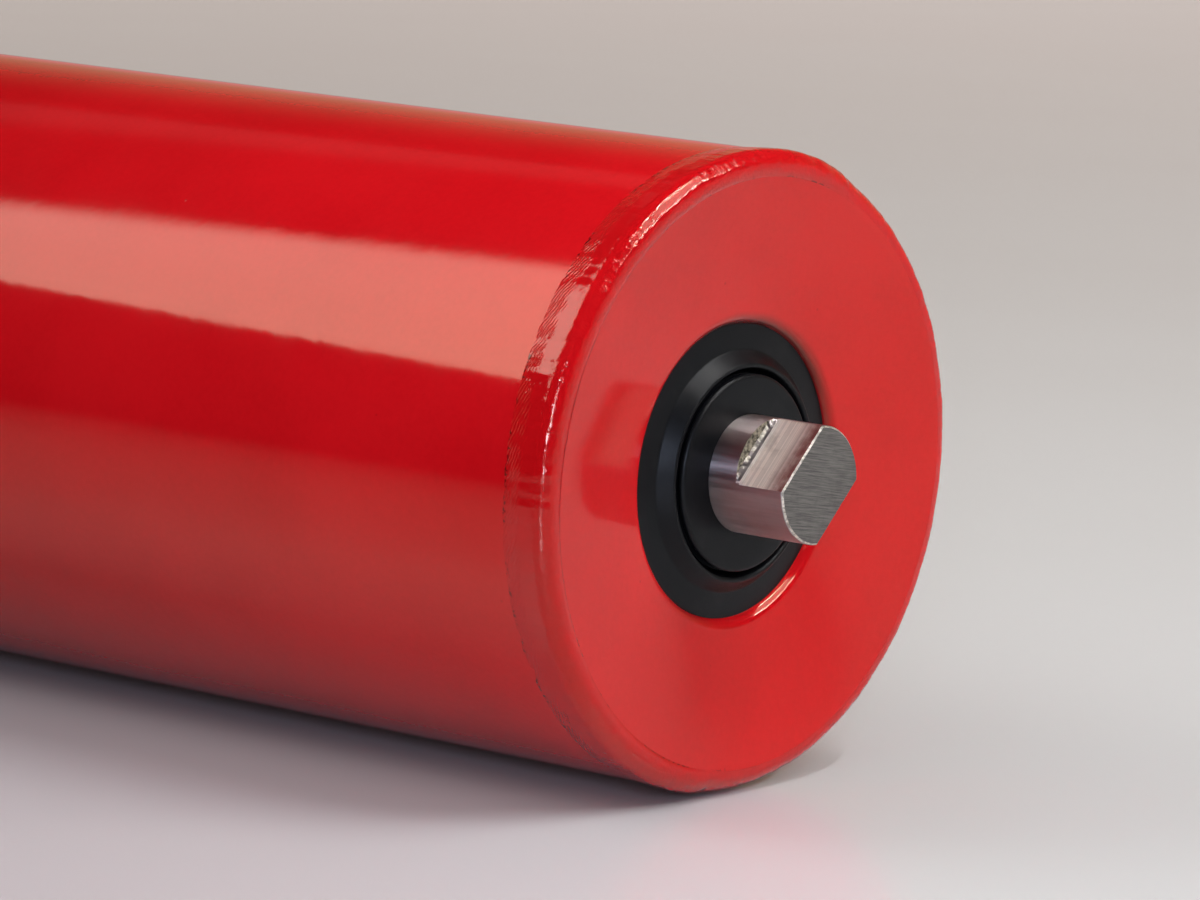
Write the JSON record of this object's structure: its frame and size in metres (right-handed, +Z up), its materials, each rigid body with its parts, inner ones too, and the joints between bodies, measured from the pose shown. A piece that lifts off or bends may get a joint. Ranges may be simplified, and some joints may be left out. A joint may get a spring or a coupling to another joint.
{
  "type": "conveyor roller",
  "caption": "Belt conveyor roller: an enamelled steel tube with welded bearing housings and labyrinth seals, turning on ball bearings round a fixed shaft with spanner flats.",
  "frame": {"origin": "middle of the roller: on the shaft's centre line, halfway between the two ends", "axes": "+X along the shaft towards the right end, +Z up, with the flats turned 45 degrees from level"},
  "size_m": [0.343, 0.109, 0.109],
  "materials": {
    "red_enamel": "gloss enamel over welded steel",
    "bright_steel": "bright drawn bar with milled flats",
    "bearing_steel": "ground bearing steel",
    "ball_steel": "polished ball steel",
    "cage_steel": "pressed steel strip",
    "spring_steel": "blackened spring steel",
    "black_plastic": "satin moulded plastic"
  },
  "bodies": {
    "axle": {"shaft": "bright_steel", "left_inner_ring": "bearing_steel", "left_circlip": "spring_steel", "left_seal_core": "black_plastic", "right_inner_ring": "bearing_steel", "right_circlip": "spring_steel", "right_seal_core": "black_plastic"},
    "shell": {"tube": "red_enamel", "left_housing": "red_enamel", "left_weld_bead": "red_enamel", "left_outer_ring": "bearing_steel", "left_seal_cover": "black_plastic", "left_rear_seal": "black_plastic", "right_housing": "red_enamel", "right_weld_bead": "red_enamel", "right_outer_ring": "bearing_steel", "right_seal_cover": "black_plastic", "right_rear_seal": "black_plastic"},
    "left_cage": {"left_cage_front": "cage_steel", "left_cage_back": "cage_steel", "left_rivets": "cage_steel", "left_balls": "ball_steel"},
    "right_cage": {"right_cage_front": "cage_steel", "right_cage_back": "cage_steel", "right_rivets": "cage_steel", "right_balls": "ball_steel"}
  },
  "joints": [
    {"name": "roller_spin", "type": "hinge", "parent": "axle", "child": "shell", "pos_m": [0, 0, 0], "axis": [1, 0, 0], "continuous": true},
    {"name": "left_cage_spin", "type": "hinge", "parent": "axle", "child": "left_cage", "pos_m": [-0.1375, 0, 0], "axis": [1, 0, 0], "continuous": true},
    {"name": "right_cage_spin", "type": "hinge", "parent": "axle", "child": "right_cage", "pos_m": [0.1375, 0, 0], "axis": [1, 0, 0], "continuous": true}
  ],
  "couplings": [
    {"joint": "left_cage_spin", "follows": "roller_spin", "ratio": 0.61848},
    {"joint": "right_cage_spin", "follows": "roller_spin", "ratio": 0.61848}
  ]
}
